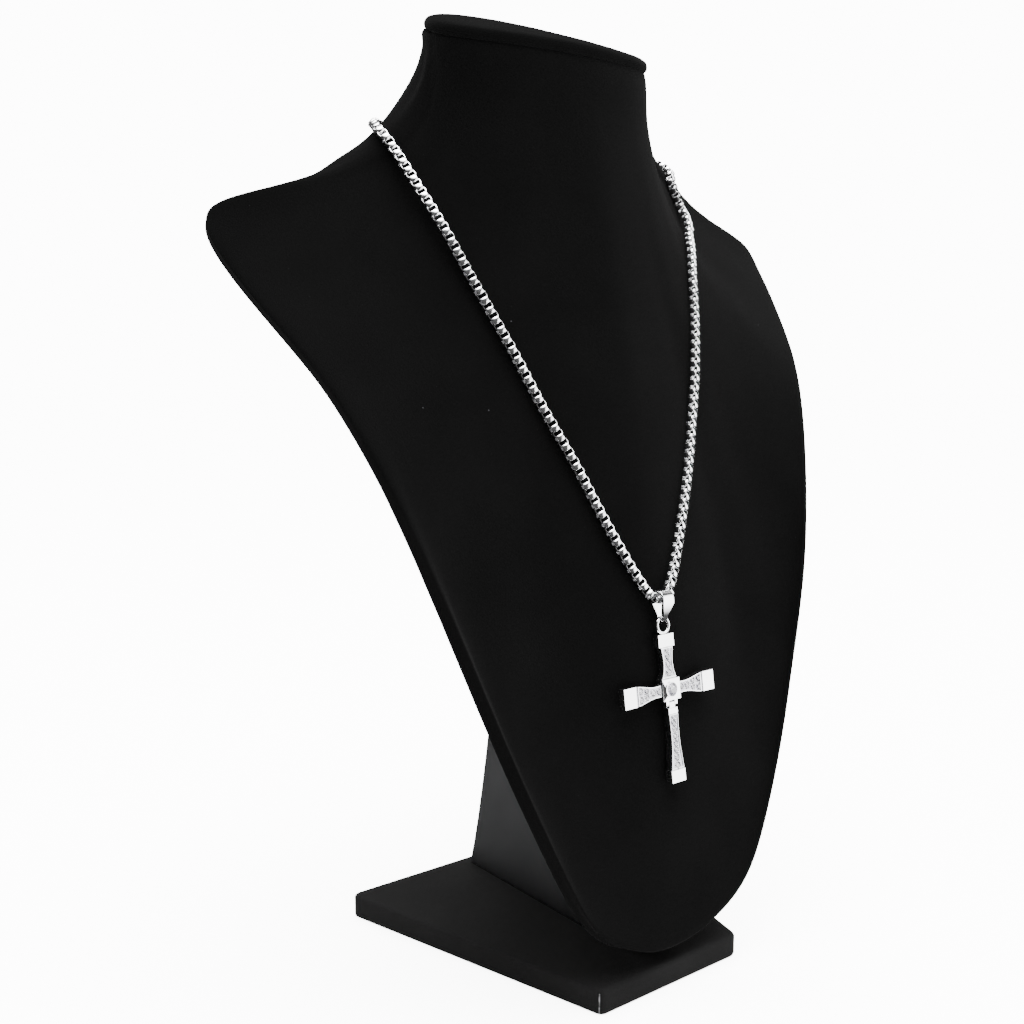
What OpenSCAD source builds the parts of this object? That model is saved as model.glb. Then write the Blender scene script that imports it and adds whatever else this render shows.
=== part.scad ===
// Cross necklace on its neck bust: a box chain, a folded bail and a stone-set cross with a
// hinged lower arm, on a velvet-covered display bust with a capped neck, a back post and a base.
// The bust faces -Y, the ground is z = 0 and the origin is under the middle of the base.

/* [Base and post] */
// Depth of the base, front to back
base_depth = 107; // [104:1:112]
// Width of the base along its front edge
base_front_w = 62; // [58:1:70]
// Width of the base along its back edge
base_back_w = 118; // [106:1:130]
// Thickness of the base
base_t = 8.2; // [6:0.2:9]
// Radius of the base's corners
base_corner_r = 3; // [1:0.5:6]
// Width of the back post
post_w = 15.6; // [12:0.2:20]

/* [Bust] */
// Wall of the velvet-covered shell
shell_t = 4; // [3:0.25:5]
// Half width of the neck at its top
neck_half_w = 43.5; // [42:0.5:44]
// Half depth of the neck at its top
neck_half_d = 26.5; // [25.5:0.5:27.5]
// Forward slope of the neck's top, in degrees
neck_tilt = 19.5; // [15:0.5:21]
// How much lower the neck's top lies at its sides than in the middle
neck_arch = 3; // [0:0.5:4]
// Thickness of the neck cap
cap_t = 4.5; // [3:0.5:6]
// How much its top swells in the middle
cap_rise = 0.5; // [0:0.25:1.5]

/* [Chain] */
// Width of the square chain
chain_w = 3; // [2:0.25:3]

/* [Bail] */
// Thickness of the bail's strip
strip_t = 0.6; // [0.5:0.05:0.7]
// Width of the strip round the chain
bail_w = 4.8; // [4:0.2:5]
// Width of the strip round the cross's ring
bail_foot_w = 2; // [1.6:0.1:2.1]

/* [Cross] */
// Thickness of the upper arm and the side arms
arm_t = 2.2; // [2:0.1:2.4]
// Thickness of their plain ends
end_t = 2.4; // [2.2:0.1:2.8]
// Width of the block in the middle
block_w = 7.6; // [7.2:0.1:8]
// Height of the block in the middle
block_h = 6.8; // [6.6:0.1:7]
// Thickness of the block in the middle
block_t = 2.9; // [2.7:0.1:3.2]
// Thickness of the lower arm
low_t = 2.6; // [2.4:0.1:2.8]
// Thickness of the lower arm's plain end
low_end_t = 2.8; // [2.6:0.1:3]
// Half the span of the crossbar
half_span = 19.9; // [19:0.1:21]
// Diameter of the stone in the middle
centre_stone_d = 4.4; // [4:0.1:4.6]
// Diameter of the hinge pin
pin_d = 0.9; // [0.7:0.05:1]
// Gap round the hinge pin
pin_gap = 0.08; // [0.05:0.01:0.12]

/* [Hidden] */
// Names of the stones, counted along each arm from the middle outwards:
// [name, arm turn in degrees, distance from the middle, side step, diameter]
STONES = [
    ["stone_centre", 0, 0, 0, centre_stone_d],
    for (arm = [["left", 90], ["right", -90]])
        for (s = [["1", 5.1, 0, 2.1], ["2", 7.6, 0, 2.4],
                  ["3a", 10.3, 1.05, 2], ["3b", 10.3, -1.05, 2],
                  ["4a", 13, 1.4, 2.4], ["4b", 13, -1.4, 2.4]])
            [str("stone_", arm[0], "_", s[0]), arm[1], s[1], s[2], s[3]],
    for (s = [["1", 5.1, 3], ["2", 8, 2.4], ["3", 10.4, 2.2], ["4", 12.6, 2]])
        [str("stone_up_", s[0]), 0, s[1], 0, s[2]]
];
LOWER_STONES = [
    for (s = [["1", 8.9, 2], ["2", 11, 2], ["3", 13.1, 2], ["4", 15.2, 2],
              ["5", 17.4, 2.1], ["6", 19.6, 2.2], ["7", 21.9, 2.3], ["8", 24.5, 2.6]])
        [str("stone_low_", s[0]), 180, s[1], 0, s[2]]
];

// Fineness of the shell: steps between two rows of the table, and points along each line
ROW_STEPS = 2;
LINE_STEPS = 12;
// Middle of the neck's top: distance behind the origin and height
NECK_Y = 17.5;
NECK_Z = 309;
// How much the rounded rim stands out past the wall, as a part of the wall
RIM_ROUND = 0.4;
CAP_GAP = 0.15;

// The bust's skin is drawn by lines that run from the neck's top, down the neck and out to the
// rim. Each row gives one of them, from the middle of the chest round one side to the nape:
// [turn about the neck, rim x, rim y, rim z, drop down the neck, pull x, pull y, pull z],
// where the pull is how the line leaves the rim.
LINES = [
    [0, 0, -54.5, 16.5, 40, 0, -0.5, 99],
    [10, 17, -55, 20, 44, 20.5, 4.5, 85],
    [20, 35.8, -55, 33, 48, 27, 12.5, 71],
    [29, 51.3, -52, 63, 52, 24, 14.5, 57],
    [37, 65, -46.5, 97.5, 55, 16, 15.5, 45],
    [45, 78, -40, 133.5, 57, 6.5, 16, 33.5],
    [53, 90, -29, 169.5, 58, -6, 14.5, 25.5],
    [62, 101.5, -14.5, 199, 55, -19.5, 10, 19],
    [71, 112.5, 5, 222.5, 51.5, -37.5, -1, 12],
    [79, 118, 20, 240, 41, -50.5, -10.5, 10],
    [84, 114, 23.5, 249, 34, -56.5, -12, 12],
    [89, 99.5, 22, 254.5, 20, -51, -11, 11.5],
    [94, 85.5, 22, 259, 16.5, -32.5, -8, 13.5],
    [100, 74, 25.5, 265.5, 17, -23.5, -5.5, 16],
    [112, 61, 33.5, 269.5, 15, -11, -3, 16.5],
    [135, 42, 44.5, 268, 20, 5, -1.5, 19],
    [158, 20, 52, 266, 18, 9, 4, 9],
    [180, 0, 54, 265, 15, 0, 0, 7]
];
HALF = len(LINES) - 1;

// The chain's route as a closed loop, in three parts. Each starts in the middle of the chest:
// the way up the wearer's right side, given with x positive
ROUTE_NEAR = [
    [2.8, -45.8, 128.1], [5.9, -43.1, 132.4], [11, -41, 141], [18.3, -36.8, 156],
    [24.9, -32.1, 171.4], [31.7, -27.1, 186], [38.3, -22.4, 201], [44.6, -17.3, 215.5],
    [50.5, -11.4, 230.1], [55.5, -3.8, 244.8], [59.1, 7.1, 259.8], [61.6, 13.4, 269.1],
    [63.4, 16.3, 273.4], [63, 20.3, 275.8]
];
// the way up the other side, which lies a little closer to the neck
ROUTE_FAR = [
    [2.8, -45.8, 128.1], [6.7, -43.3, 131.8], [11.3, -41.3, 139.7], [19.1, -36.8, 155.2],
    [25.4, -32.8, 167.9], [31.2, -28.5, 180.9], [36.8, -24.1, 195], [40.5, -20.6, 207],
    [44.2, -16.6, 218.6], [48.1, -11.5, 232.4], [53, -5.4, 243.2], [59.5, 2.4, 250.8],
    [62.8, 9.2, 259.2], [61.2, 13.2, 268.8], [63.2, 16.3, 273.3], [63, 20.4, 275.8]
];
// and half the way round the back, from the side of the neck to the nape
ROUTE_BACK = [
    [61.5, 24.2, 277.3], [59.7, 28, 278.4], [54.6, 34.1, 279.8], [49.6, 39.2, 280.2],
    [44, 43.8, 280.5], [31.1, 50.2, 280.8], [23.5, 52.6, 280.9], [15.9, 53.6, 281.1]
];
CHAIN_LOW = [0, -46, 127.8];
NAPE = [0, 54.1, 281.3];
// Rings of the chain's form between two points of the route
ROUTE_STEPS = 2;
CHAIN_SIDES = 8;

// The bail hangs upright round the chain; the cross leans back on the chest by its own angle.
// The bail's strip is vertical from the top loop down to a fold, then tapers in to its foot
BAIL_AT = [0, -46, 127.8];
BAIL_DROP = 6;
BAIL_R = 2.4;
FOOT_R = 0.9;
LEG_SLOPE = 16.5;
RING_AT = BAIL_AT - [0, 0, BAIL_DROP];
LEAN = 8.5;
// The cross's own heights, measured down from the middle of the ring's top
RING_R = 2.5;
RING_WIRE_R = 0.55;
CAP_BLOCK = [5.35, 9.4];
MIDDLE = 23;
HINGE = 27.6;
NECK_BLOCK = [28.9, 30.8];
FOOT_BLOCK = [48.8, 52.7];
BACK = 1.4;
KNUCKLE_R = 1.15;
KNUCKLE_W = 2.3;
LUG_W = 1.2;
SIDE_GAP = 0.1;
STONE_GAP = 0.04;
STONE_SINK = 0.08;
POCKET_SPARE = 0.12;
BEZEL_W = 0.35;
BEZEL_RISE = 0.3;

function unit(v) = v / norm(v);
function spline(a, b, c, d, t) =
    0.5 * (2 * b + (c - a) * t + (2 * a - 5 * b + 4 * c - d) * t * t
        + (3 * b - a - 3 * c + d) * t * t * t);
function bezier(c, t) =
    (1 - t) ^ 3 * c[0] + 3 * (1 - t) ^ 2 * t * c[1] + 3 * (1 - t) * t * t * c[2] + t ^ 3 * c[3];
// Two triangles for each cell of a grid of closed rings; the last ring joins the first
// where the form is closed both ways
function ring_faces(rings, n, closed) = [
    for (k = [0:rings - (closed ? 1 : 2)], i = [0:n - 1])
        let (a = k * n + i, b = k * n + (i + 1) % n,
             c = ((k + 1) % rings) * n + (i + 1) % n, d = ((k + 1) % rings) * n + i)
            each [[a, b, c], [a, c, d]]
];

// How far the arched top of the neck lies below its middle, at a distance to the side
function arch_drop(x) = neck_arch * (x / neck_half_w) ^ 2;
function neck_top(x, y) = [x, y, NECK_Z + (y - NECK_Y) * tan(neck_tilt) - arch_drop(x)];
// Points of one line of the skin: neck top, end of the straight drop, pull at the rim, rim
function line_points(r, side) =
    let (top = neck_top(neck_half_w * sin(r[0]), NECK_Y - neck_half_d * cos(r[0])),
         rim = [r[1], r[2], r[3]], flip = [side, 1, 1])
        [for (p = [top, top - [0, 0, r[4]], rim + [r[5], r[6], r[7]], rim])
            [p[0] * flip[0], p[1], p[2]]];
RING_OF_LINES = concat(
    [for (i = [0:HALF]) line_points(LINES[i], 1)],
    [for (i = [HALF - 1:-1:1]) line_points(LINES[i], -1)]);
function line_between(s) =
    let (n = len(RING_OF_LINES), k = floor(s / ROW_STEPS), t = s / ROW_STEPS - k)
        [for (p = [0:3]) spline(RING_OF_LINES[(k + n - 1) % n][p], RING_OF_LINES[k % n][p],
                                RING_OF_LINES[(k + 1) % n][p], RING_OF_LINES[(k + 2) % n][p], t)];
SKIN = [
    for (s = [0:len(RING_OF_LINES) * ROW_STEPS - 1])
        let (c = line_between(s)) [for (j = [0:LINE_STEPS]) bezier(c, j / LINE_STEPS)]
];
AROUND = len(SKIN);
// Direction into the wall at a point of the skin
function inward(s, j) =
    let (round = SKIN[(s + 1) % AROUND][j] - SKIN[(s + AROUND - 1) % AROUND][j],
         down = SKIN[s][min(j + 1, LINE_STEPS)] - SKIN[s][max(j - 1, 0)])
        unit(cross(round, down));
// Point of the inner wall behind a point of the skin; at the neck's top it keeps to the slope
function inner_point(s, j) =
    let (p = SKIN[s][j] + inward(s, j) * shell_t) j == 0 ? neck_top(p[0], p[1]) : p;

// The shell's depth behind the chest at its middle line, used to fit the post
function chest_back(z) =
    let (c = line_between(0),
         pts = [for (j = [0:LINE_STEPS]) bezier(c, j / LINE_STEPS)],
         k = max([for (j = [0:LINE_STEPS - 1]) pts[j][2] >= z ? j : 0]),
         f = (pts[k][2] - z) / (pts[k][2] - pts[k + 1][2]))
        pts[k][1] + (pts[k + 1][1] - pts[k][1]) * f + shell_t;

module base() {
    // Plan with its rounded corners as arcs
    corners = [
        [-base_front_w / 2, -base_depth / 2], [base_front_w / 2, -base_depth / 2],
        [base_back_w / 2, base_depth / 2], [-base_back_w / 2, base_depth / 2]
    ];
    steps = 6;
    plan = [
        for (i = [0:3])
            let (p = corners[i], before = unit(corners[(i + 3) % 4] - p),
                 after = unit(corners[(i + 1) % 4] - p), half = acos(before * after) / 2,
                 middle = p + unit(before + after) * base_corner_r / sin(half),
                 start = p + before * base_corner_r / tan(half) - middle,
                 turn0 = atan2(start[1], start[0]))
                for (k = [0:steps])
                    let (t = turn0 + (180 - 2 * half) * k / steps)
                        middle + base_corner_r * [cos(t), sin(t)]
    ];
    color([0.12, 0.12, 0.13]) linear_extrude(base_t) polygon(plan);
}

module post() {
    // Side view: the back edge leans forward in a slack curve, the front edge follows the shell
    foot_y = base_depth / 2 - 4.5;
    top_z = 176;
    gap = 1.3;
    back_edge = [
        for (t = [0:0.1:1])
            bezier([[foot_y, base_t], [foot_y - 9, base_t + 30], [foot_y - 16, base_t + 80],
                    [foot_y - 26, top_z - 22]], t)
    ];
    front_edge = [for (z = [top_z:-16:24]) [chest_back(z) + gap, z]];
    color([0.25, 0.25, 0.26])
        translate([-post_w / 2, 0, 0]) rotate([90, 0, 90]) linear_extrude(post_w)
            polygon(concat(back_edge, front_edge,
                           [[chest_back(24) + gap + 3, 23], [-30, base_t]]));
}

module bust_shell() {
    rows = LINE_STEPS + 1;
    // Skin from the neck down, the rounded rim, then the inside from the rim back up
    rings = concat(
        [for (j = [0:LINE_STEPS]) [for (s = [0:AROUND - 1]) SKIN[s][j]]],
        [for (f = [0.28, 0.72])
            [for (s = [0:AROUND - 1])
                let (out = unit(SKIN[s][LINE_STEPS] - SKIN[s][LINE_STEPS - 1]))
                    SKIN[s][LINE_STEPS] + inward(s, LINE_STEPS) * shell_t * f
                        + out * shell_t * RIM_ROUND]],
        [for (j = [LINE_STEPS:-1:0])
            [for (s = [0:AROUND - 1]) inner_point(s, j)]]
    );
    color([0.08, 0.08, 0.09])
        polyhedron([for (r = rings) each r], ring_faces(len(rings), AROUND, true));
}

module neck_cap() {
    // Oval lid with a rounded edge that follows the arch, as rings of [inset from the edge, height]
    edge = [[2.2, 0], [0.7, 0.35], [0, 0.3 * cap_t], [0, 0.6 * cap_t], [0.8, 0.88 * cap_t],
            [2.6, cap_t], [9, cap_t + 0.6 * cap_rise], [18, cap_t + cap_rise]];
    n = 64;
    half_w = neck_half_w + 0.5;
    half_d = neck_half_d + 0.5;
    rings = [
        for (e = edge)
            [for (i = [0:n - 1])
                let (a = -360 * i / n, x = (half_w - e[0]) * sin(a))
                    [x, -(half_d - e[0]) * cos(a), e[1] - arch_drop(x) * cos(neck_tilt)]]
    ];
    // Flat strips across the lid, each between two pairs of points at equal distances to the side
    strips = [
        for (i = [-n / 4:n / 4 - 1])
            [for (k = concat([i, i + 1], i == n / 4 - 1 ? [] : [n / 2 - i - 1],
                             i == -n / 4 ? [] : [n / 2 - i])) (k + n) % n]
    ];
    bottom = [for (strip = strips) back_to_front(strip)];
    top = [for (strip = strips) [for (k = strip) (len(edge) - 1) * n + k]];
    color([0.1, 0.1, 0.11])
        translate([0, NECK_Y - 1, NECK_Z - tan(neck_tilt) + CAP_GAP])
            rotate([neck_tilt, 0, 0])
                polyhedron([for (r = rings) each r],
                           concat(ring_faces(len(edge), n, false), bottom, top));
}

function flip(p) = [-p[0], p[1], p[2]];
function back_to_front(list) = [for (i = [len(list) - 1:-1:0]) list[i]];
// The chain's route as one closed loop of points
LOOP = concat(
    [CHAIN_LOW], ROUTE_FAR, ROUTE_BACK, [NAPE],
    [for (p = back_to_front(ROUTE_BACK)) flip(p)], [for (p = back_to_front(ROUTE_NEAR)) flip(p)]);
function loop_at(s) =
    let (n = len(LOOP), k = floor(s), t = s - k)
        spline(LOOP[(k + n - 1) % n], LOOP[k % n], LOOP[(k + 1) % n], LOOP[(k + 2) % n], t);

module chain() {
    rings = len(LOOP) * ROUTE_STEPS;
    // Point behind the chest that the chain's flat side is turned to
    middle = [0, 10, 230];
    corner_r = chain_w / 2 / cos(180 / CHAIN_SIDES);
    points = [
        for (s = [0:rings - 1])
            let (p = loop_at(s / ROUTE_STEPS),
                 along = unit(loop_at((s + 1) / ROUTE_STEPS)
                     - loop_at((s + rings - 1) / ROUTE_STEPS)),
                 across = unit(cross(along, p - middle)), out = cross(across, along))
                for (i = [0:CHAIN_SIDES - 1])
                    let (a = 360 * (i + 0.5) / CHAIN_SIDES)
                        p + corner_r * (cos(a) * across + sin(a) * out)
    ];
    color([0.8, 0.81, 0.83]) polyhedron(points, ring_faces(rings, CHAIN_SIDES, true));
}

module clasp() {
    // Plain closed barrel over the chain's ends at the nape
    length = 9;
    color([0.8, 0.81, 0.83])
        translate(NAPE) rotate([0, 90, 0]) difference() {
            cylinder(h = length, d = chain_w + 1.8, center = true, $fn = 32);
            cylinder(h = length + 1, d = chain_w + 0.7, center = true, $fn = 32);
        }
}

// Height of the fold where a straight leg leaves a loop of radius big for one of radius small
function fold_at(big, small) =
    -BAIL_DROP + (big * cos(LEG_SLOPE) - small) / sin(LEG_SLOPE);
// Side outline round the bail's two loops
function bail_outline(big, small) = concat(
    [[big, fold_at(big, small)]],
    [for (a = [0:7.5:180]) big * [cos(a), sin(a)]],
    [[-big, fold_at(big, small)]],
    [for (a = [180 + LEG_SLOPE:(180 - 2 * LEG_SLOPE) / 16:360.01 - LEG_SLOPE])
        [0, -BAIL_DROP] + small * [cos(a), sin(a)]]);

module bail() {
    // One strip, bent to a large loop round the chain and a small one round the cross's ring,
    // cut to its front view: widest at the fold, narrow at the foot
    reach = BAIL_R + strip_t + 1;
    half_view = [
        [bail_foot_w / 2, -BAIL_DROP - reach], [bail_foot_w / 2, -BAIL_DROP + 0.9],
        [bail_w / 2, fold_at(BAIL_R, FOOT_R)], [bail_w / 2 - 0.2, reach]
    ];
    color([0.86, 0.87, 0.88])
        translate(BAIL_AT) intersection() {
            translate([-bail_w, 0, 0]) rotate([90, 0, 90]) linear_extrude(2 * bail_w)
                difference() {
                    polygon(bail_outline(BAIL_R + strip_t, FOOT_R + strip_t));
                    polygon(bail_outline(BAIL_R, FOOT_R));
                }
            translate([0, reach, 0]) rotate([90, 0, 0]) linear_extrude(2 * reach)
                polygon(concat(half_view,
                               [for (i = [3:-1:0]) [-half_view[i][0], half_view[i][1]]]));
        }
}

// A piece of the cross stands in its leaning frame: x across, z up along the cross,
// y = BACK at its flat back
module on_cross() translate(RING_AT) rotate([-LEAN, 0, 0]) children();
// A flat outline in the cross's plane, of thickness t from the back
module plate(t) translate([0, BACK, 0]) rotate([90, 0, 0]) linear_extrude(t) children();

// Outline of a flared arm that leaves the middle upwards: its sides curve from
// the narrow waist to the wide outer end. Widths as [distance from the middle, half width]
module flared(widths, steps = 4) {
    n = len(widths) - 1;
    function at(i) = widths[max(0, min(n, i))];
    side = [
        for (k = [0:n - 1], t = [0:1 / steps:0.999])
            spline(at(k - 1), at(k), at(k + 1), at(k + 2), t),
        widths[n]
    ];
    polygon(concat([for (p = side) [p[1], p[0]]],
                   [for (i = [len(side) - 1:-1:0]) [-side[i][1], side[i][0]]]));
}

UP_ARM = [[3, 3.4], [4.4, 2.75], [6, 2.2], [8.4, 1.95], [11, 2.1], [13.7, 2.6]];
SIDE_ARM = [[3, 1.9], [5, 1.8], [7, 1.8], [9.5, 2.15], [12.2, 2.75], [14.9, 3.2]];
LOW_ARM = [[NECK_BLOCK[1] - 0.1, 1.95], [33, 1.85], [37, 1.75], [41, 1.85], [45, 2.3],
           [FOOT_BLOCK[0] + 0.1, 2.75]];

// Space for one stone, drilled from the front
module pocket(d, front) {
    depth = 0.43 * d + STONE_SINK + POCKET_SPARE;
    translate([0, front - 1, 0]) rotate([-90, 0, 0])
        cylinder(h = depth + 1, d = d + 2 * STONE_GAP, $fn = 32);
}

module cross_body() {
    front = BACK - arm_t;
    cap_w = 6.7;
    end_h = 6.4;
    color([0.86, 0.87, 0.88]) on_cross() difference() {
        union() {
            translate([0, 0, -RING_R]) rotate([90, 0, 0])
                rotate_extrude($fn = 48) translate([RING_R, 0]) circle(RING_WIRE_R, $fn = 24);
            plate(end_t) translate([-cap_w / 2, -CAP_BLOCK[1]])
                square([cap_w, CAP_BLOCK[1] - CAP_BLOCK[0]]);
            translate([0, 0, -MIDDLE]) {
                plate(arm_t) flared(UP_ARM);
                for (turn = [90, -90]) {
                    plate(arm_t) rotate(turn) flared(SIDE_ARM);
                    plate(end_t) rotate(turn) translate([-end_h / 2, 14.8])
                        square([end_h, half_span - 14.8]);
                }
                plate(block_t) square([block_w, block_h], center = true);
                translate([0, BACK - block_t, 0]) rotate([90, 0, 0])
                    cylinder(h = BEZEL_RISE, d = centre_stone_d + 2 * BEZEL_W, $fn = 48);
            }
            for (side = [-1, 1])
                translate([side * (KNUCKLE_W / 2 + SIDE_GAP + LUG_W / 2), 0, -HINGE]) {
                    rotate([0, 90, 0]) cylinder(h = LUG_W, r = KNUCKLE_R, center = true, $fn = 32);
                    translate([-LUG_W / 2, -KNUCKLE_R, 0])
                        cube([LUG_W, 2 * KNUCKLE_R, HINGE - MIDDLE - block_h / 2 + 0.5]);
                }
        }
        translate([0, 0, -HINGE]) rotate([0, 90, 0])
            cylinder(h = 2 * KNUCKLE_W + 4, d = pin_d + 2 * pin_gap, center = true, $fn = 32);
        for (s = STONES)
            translate([0, 0, -MIDDLE]) rotate([0, -s[1], 0]) translate([s[3], 0, s[2]])
                pocket(s[4], s[0] == "stone_centre" ? BACK - block_t - BEZEL_RISE : front);
    }
}

module hinge_pin() {
    length = KNUCKLE_W + 2 * (SIDE_GAP + LUG_W);
    color([0.75, 0.76, 0.78])
        on_cross() translate([0, 0, -HINGE]) rotate([0, 90, 0])
            cylinder(h = length, d = pin_d, center = true, $fn = 32);
}

module lower_arm() {
    front = BACK - low_t;
    color([0.86, 0.87, 0.88]) on_cross() difference() {
        union() {
            translate([0, 0, -HINGE]) rotate([0, 90, 0])
                cylinder(h = KNUCKLE_W, r = KNUCKLE_R, center = true, $fn = 32);
            translate([-KNUCKLE_W / 2, -KNUCKLE_R, -NECK_BLOCK[0] - 0.5])
                cube([KNUCKLE_W, 2 * KNUCKLE_R, NECK_BLOCK[0] - HINGE + 0.5]);
            plate(low_t) translate([-2, -NECK_BLOCK[1]])
                square([4, NECK_BLOCK[1] - NECK_BLOCK[0]]);
            plate(low_t) mirror([0, 1]) flared(LOW_ARM);
            plate(low_end_t) translate([-3, -FOOT_BLOCK[1]])
                square([6, FOOT_BLOCK[1] - FOOT_BLOCK[0]]);
        }
        translate([0, 0, -HINGE]) rotate([0, 90, 0])
            cylinder(h = 2 * KNUCKLE_W + 4, d = pin_d + 2 * pin_gap, center = true, $fn = 32);
        for (s = LOWER_STONES)
            translate([0, 0, -MIDDLE]) rotate([0, -s[1], 0]) translate([s[3], 0, s[2]])
                pocket(s[4], front);
    }
}

// Round brilliant of diameter d: table of 8 corners, girdle of 16, and a pointed pavilion
module brilliant(d) {
    r = d / 2;
    table_r = 0.56 * r;
    crown = 0.16 * d;
    girdle = 0.03 * d;
    pavilion = 0.43 * d;
    points = concat(
        [for (i = [0:7]) [table_r * cos(45 * i), table_r * sin(45 * i), crown]],
        [for (i = [0:15]) [r * cos(22.5 * i), r * sin(22.5 * i), 0]],
        [for (i = [0:15]) [r * cos(22.5 * i), r * sin(22.5 * i), -girdle]],
        [[0, 0, -pavilion]]
    );
    faces = concat(
        [[for (i = [7:-1:0]) i]],
        [for (i = [0:7])
            let (t = i, next = (i + 1) % 8, g0 = 8 + (2 * i + 15) % 16, g1 = 8 + 2 * i,
                 g2 = 8 + 2 * i + 1)
                each [[t, g1, g0], [t, g2, g1], [t, next, g2]]],
        [for (i = [0:15])
            let (a = 8 + i, b = 8 + (i + 1) % 16) each [[a, b, b + 16], [a, b + 16, a + 16]]],
        [for (i = [0:15]) [24 + i, 24 + (i + 1) % 16, 40]]
    );
    polyhedron(points, faces);
}

module stone(s) {
    front = s[0] == "stone_centre" ? BACK - block_t - BEZEL_RISE
        : BACK - (s[1] == 180 ? low_t : arm_t);
    color([0.92, 0.93, 0.95]) on_cross()
        translate([0, 0, -MIDDLE]) rotate([0, -s[1], 0])
            translate([s[3], front + STONE_SINK, s[2]]) rotate([90, 0, 0]) brilliant(s[4]);
}

base();
post();
bust_shell();
neck_cap();
chain();
clasp();
bail();
cross_body();
hinge_pin();
lower_arm();
for (s = concat(STONES, LOWER_STONES)) stone(s);
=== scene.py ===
"""Cross necklace on its black velvet neck bust, dressed piece by piece in the order it is put up:
base, post, velvet bust and neck cap, box chain and clasp, bail, cross and stones, then the table,
the lights and the camera. Metres, +Z up, the chest faces -Y."""
import math

import bmesh
import bpy
from mathutils import Matrix, Vector
from mathutils.bvhtree import BVHTree


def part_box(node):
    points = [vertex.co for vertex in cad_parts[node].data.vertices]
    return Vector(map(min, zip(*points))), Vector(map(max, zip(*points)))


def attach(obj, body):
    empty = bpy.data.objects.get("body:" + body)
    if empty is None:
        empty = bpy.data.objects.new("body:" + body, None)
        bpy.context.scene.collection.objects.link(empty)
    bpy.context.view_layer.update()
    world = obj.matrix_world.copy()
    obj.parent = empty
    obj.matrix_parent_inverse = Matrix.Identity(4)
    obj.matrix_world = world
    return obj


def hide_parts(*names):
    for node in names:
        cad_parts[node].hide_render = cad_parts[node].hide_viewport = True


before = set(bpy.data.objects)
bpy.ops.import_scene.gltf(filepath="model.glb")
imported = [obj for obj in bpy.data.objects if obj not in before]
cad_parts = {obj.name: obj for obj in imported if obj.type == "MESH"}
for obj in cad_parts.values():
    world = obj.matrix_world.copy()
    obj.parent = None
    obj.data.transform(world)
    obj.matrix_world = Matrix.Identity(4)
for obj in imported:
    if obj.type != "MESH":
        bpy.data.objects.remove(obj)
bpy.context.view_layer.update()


# Base board: a flat fibreboard, wider at the back than at the front, wrapped in short black velvet
# that is glued over its edges and rounds them. Its velvet is a lighter black than the bust's, partly
# for the dust and lint it has caught and partly as painted light for the sheen of its top and front.
# A pale line down each of its two front corners is a painted highlight where the velvet turns.
MM = 0.001
VELVET_BLACK = "#040404"
VELVET_BRUSHED = "#070707"
# A lighter black for the base's velvet: partly dust and lint, partly painted light for the sheen its
# top and front catch
DUST_AND_LIGHT_BLACK = "#0e0e0e"
DUST_AND_LIGHT_BRUSHED = "#161616"
VELVET_SHEEN = "#8f8f8f"
LINT = "#2c2c2e"
CLEAN_SHEEN = 0.03
DUSTY_SHEEN = 0.05
PILE = 0.55 * MM
BRUSHED_PATCH = 30 * MM
LINT_SPACING = 16 * MM
LINT_RADIUS = 0.224 * MM
WRAP_ROUND = 1.0 * MM
TOUCHING = 0.001 * MM


def linear(hex_colour):
    """Linear RGBA of an sRGB hex value."""
    parts = [int(hex_colour[i:i + 2], 16) / 255 for i in (1, 3, 5)]
    return [c / 12.92 if c <= 0.04045 else ((c + 0.055) / 1.055) ** 2.4 for c in parts] + [1]


def add(tree, kind, settings=None, links=None):
    """Adds a node with its settings, and links its sockets to other nodes' sockets."""
    node = tree.nodes.new(kind)
    for name, value in (settings or {}).items():
        if isinstance(name, str) and name not in node.inputs:
            setattr(node, name, value)
        else:
            node.inputs[name].default_value = value
    for name, source in (links or {}).items():
        tree.links.new(source, node.inputs[name])
    return node


def empty_material(name):
    """A material with no nodes in it yet, and its node tree."""
    material = bpy.data.materials.new(name)
    material.use_nodes = True
    material.node_tree.nodes.clear()
    return material, material.node_tree


def short_velvet(name, black, brushed_black, sheen):
    """Rayon velvet, woven and sheared: a deep matt black that lightens only where the eye looks
    along the pile, with brushed patches and a few specks of lint. The pile is drawn coarser than
    it is, so that it shows."""
    material, tree = empty_material(name)
    place = add(tree, "ShaderNodeTexCoord").outputs["Object"]
    brushed = add(tree, "ShaderNodeTexNoise", {"Scale": 1 / BRUSHED_PATCH, "Detail": 3},
                  {"Vector": place})
    nap = add(tree, "ShaderNodeTexNoise", {"Scale": 1 / PILE, "Detail": 2, "Roughness": 0.6},
              {"Vector": place})
    cloth = add(tree, "ShaderNodeMix",
                {"data_type": "RGBA", 6: linear(black), 7: linear(brushed_black)},
                {0: brushed.outputs["Fac"]})
    speck = add(tree, "ShaderNodeTexVoronoi", {"Scale": 1 / LINT_SPACING}, {"Vector": place})
    is_speck = add(tree, "ShaderNodeMath", {"operation": "LESS_THAN", 1: LINT_RADIUS / LINT_SPACING},
                   {0: speck.outputs["Distance"]})
    fabric = add(tree, "ShaderNodeMix", {"data_type": "RGBA", 7: linear(LINT)},
                 {0: is_speck.outputs[0], 6: cloth.outputs[2]})
    relief = add(tree, "ShaderNodeBump", {"Strength": 0.5, "Distance": 0.2 * MM},
                 {"Height": nap.outputs["Fac"]})
    surface = add(tree, "ShaderNodeBsdfPrincipled",
                  {"Roughness": 0.95, "Specular IOR Level": 0, "Sheen Weight": sheen,
                   "Sheen Roughness": 0.5, "Sheen Tint": linear(VELVET_SHEEN)},
                  {"Base Color": fabric.outputs[2], "Normal": relief.outputs["Normal"]})
    add(tree, "ShaderNodeOutputMaterial", links={"Surface": surface.outputs[0]})
    return material


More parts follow.
